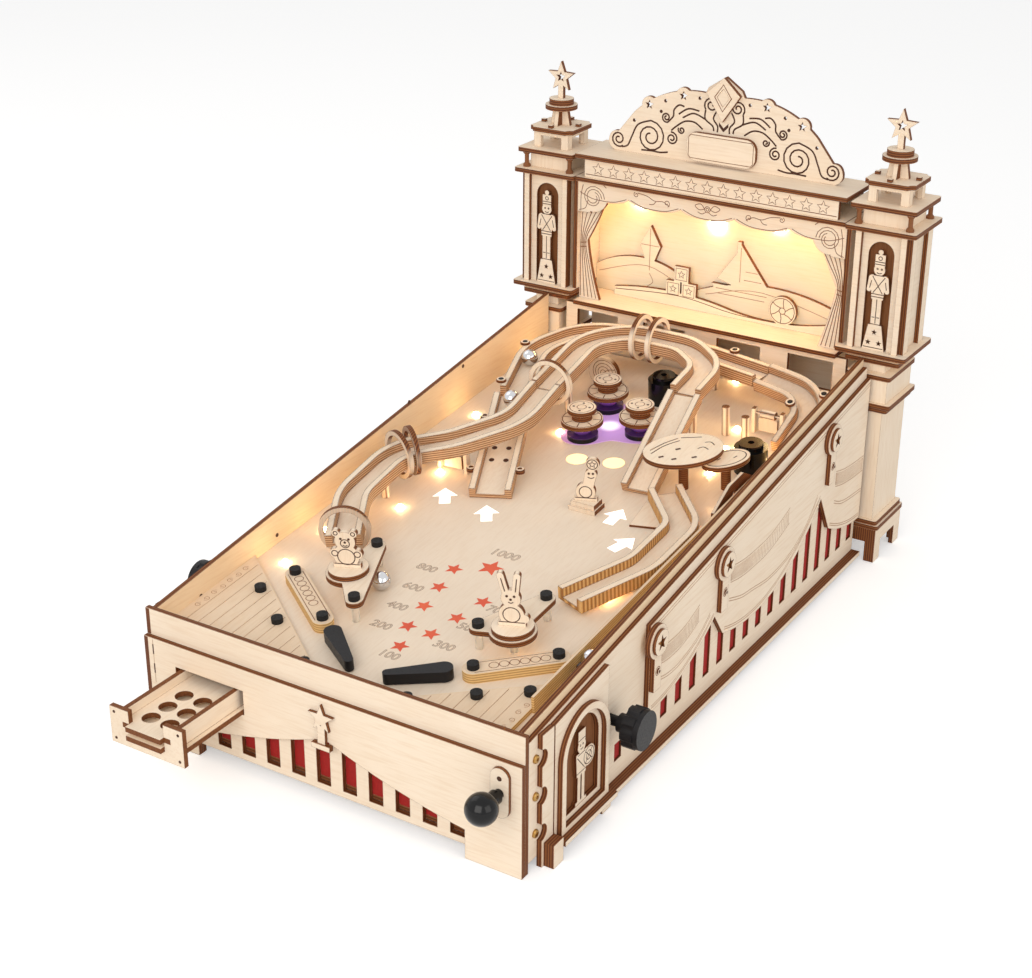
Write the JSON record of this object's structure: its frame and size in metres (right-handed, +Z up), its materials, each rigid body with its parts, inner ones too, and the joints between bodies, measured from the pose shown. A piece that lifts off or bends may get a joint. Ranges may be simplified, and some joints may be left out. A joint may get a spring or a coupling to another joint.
{
  "type": "tabletop pinball game",
  "caption": "Tabletop pinball game of layered plywood with a sloping playfield, raised ball tracks, two flippers and a small stage between two towers.",
  "frame": {"origin": "on the table, under the middle of the overall box", "axes": "+Z up, +X to the player's right, the player stands on the -Y side"},
  "size_m": [0.292, 0.517, 0.303],
  "materials": {
    "plywood": "matte, dark burnt edges",
    "dark_ply": "matte",
    "red_card": "matte",
    "brass_screws": "satin",
    "lit_windows": "frosted, lit from below",
    "black_rubber": "matte",
    "black_plastic": "satin",
    "spring_steel": "bright",
    "ball_steel": "polished"
  },
  "bodies": {
    "cabinet": {"base_board": "plywood", "front_panel": "plywood", "front_drape": "plywood", "left_wall": "plywood", "right_wall": "plywood", "side_skins": "plywood", "side_drapes": "plywood", "side_medallions": "plywood", "corner_niches": "plywood", "niche_figures": "plywood", "plinth_strips": "plywood", "rear_wall": "plywood", "pedestals": "plywood", "pedestal_plates": "plywood", "tower_decks": "plywood", "tower_faces": "plywood", "tower_sides": "plywood", "tower_soldiers": "plywood", "finials": "plywood", "stage_shelves": "plywood", "stage_back": "plywood", "valance": "plywood", "curtains": "plywood", "star_band": "plywood", "pediment": "plywood", "playfield": "plywood", "board_ribs": "plywood", "aprons": "plywood", "slingshot_decks": "plywood", "toy_figures": "plywood", "bumper_caps": "plywood", "outer_loop": "plywood", "inner_loop": "plywood", "return_track": "plywood", "right_track": "plywood", "track_ramps": "plywood", "track_hoops": "plywood", "track_posts": "plywood", "target_frames": "plywood", "cover_plates": "plywood", "niche_backs": "dark_ply", "red_backing": "red_card", "corner_screws": "brass_screws", "light_windows": "lit_windows", "rubber_posts": "black_rubber", "bumper_bases": "black_plastic", "battery_box": "black_plastic", "plunger_spring": "spring_steel"},
    "left_button_body": {"left_button": "black_plastic"},
    "right_button_body": {"right_button": "black_plastic"},
    "left_flipper_body": {"left_flipper": "black_plastic"},
    "right_flipper_body": {"right_flipper": "black_plastic"},
    "plunger_body": {"plunger": "black_plastic"},
    "ball_drawer_body": {"ball_drawer": "plywood"},
    "left_swing_target_body": {"left_swing_target": "plywood"},
    "right_swing_target_body": {"right_swing_target": "plywood"},
    "lane_ball_body": {"lane_ball": "ball_steel"},
    "ramp_ball_body": {"ramp_ball": "ball_steel"},
    "field_ball_body": {"field_ball": "ball_steel"},
    "loop_ball_body": {"loop_ball": "ball_steel"}
  },
  "joints": [
    {"name": "left_button_push", "type": "slide", "parent": "cabinet", "child": "left_button_body", "axis": [1, 0, 0], "range_m": [0, 0.006], "stiffness_N_per_m": 150, "springref_m": -0.004},
    {"name": "right_button_push", "type": "slide", "parent": "cabinet", "child": "right_button_body", "axis": [-1, 0, 0], "range_m": [0, 0.006], "stiffness_N_per_m": 150, "springref_m": -0.004},
    {"name": "left_flip", "type": "hinge", "parent": "cabinet", "child": "left_flipper_body", "pos_m": [-0.025, -0.1617, 0.07072], "axis": [0, -0.0958, 0.9954], "range_deg": [0, 50.5]},
    {"name": "right_flip", "type": "hinge", "parent": "cabinet", "child": "right_flipper_body", "pos_m": [0.047, -0.1617, 0.07072], "axis": [0, 0.0958, -0.9954], "range_deg": [0, 50.5]},
    {"name": "plunger_pull", "type": "slide", "parent": "cabinet", "child": "plunger_body", "axis": [0, -1, 0], "range_m": [0, 0.02], "stiffness_N_per_m": 120, "springref_m": -0.006, "deforming": ["plunger_spring"]},
    {"name": "drawer_slide", "type": "slide", "parent": "cabinet", "child": "ball_drawer_body", "axis": [0, 1, 0], "range_m": [0, 0.0465]},
    {"name": "left_target_swing", "type": "hinge", "parent": "cabinet", "child": "left_swing_target_body", "pos_m": [-0.072, 0.02409, 0.10267], "axis": [1, 0, 0], "range_deg": [-45, 45]},
    {"name": "right_target_swing", "type": "hinge", "parent": "cabinet", "child": "right_swing_target_body", "pos_m": [0.081, 0.15349, 0.11513], "axis": [1, 0, 0], "range_deg": [-45, 45]},
    {"name": "lane_ball_run", "type": "slide", "parent": "cabinet", "child": "lane_ball_body", "axis": [0, 0.9954, 0.0958], "range_m": [0, 0.19]},
    {"name": "ramp_ball_run", "type": "slide", "parent": "cabinet", "child": "ramp_ball_body", "axis": [-0.3806, 0.8878, 0.2588], "range_m": [-0.07, 0]},
    {"name": "field_ball_run", "type": "slide", "parent": "cabinet", "child": "field_ball_body", "axis": [0.25, 0.9638, 0.0928], "range_m": [0, 0.07]},
    {"name": "loop_ball_run", "type": "slide", "parent": "cabinet", "child": "loop_ball_body", "axis": [-0.3311, 0.9393, 0.0904], "range_m": [-0.03, 0]}
  ],
  "couplings": [
    {"joint": "left_flip", "follows": "left_button_push", "rad_per_m": 145.44},
    {"joint": "right_flip", "follows": "right_button_push", "rad_per_m": 145.44}
  ]
}
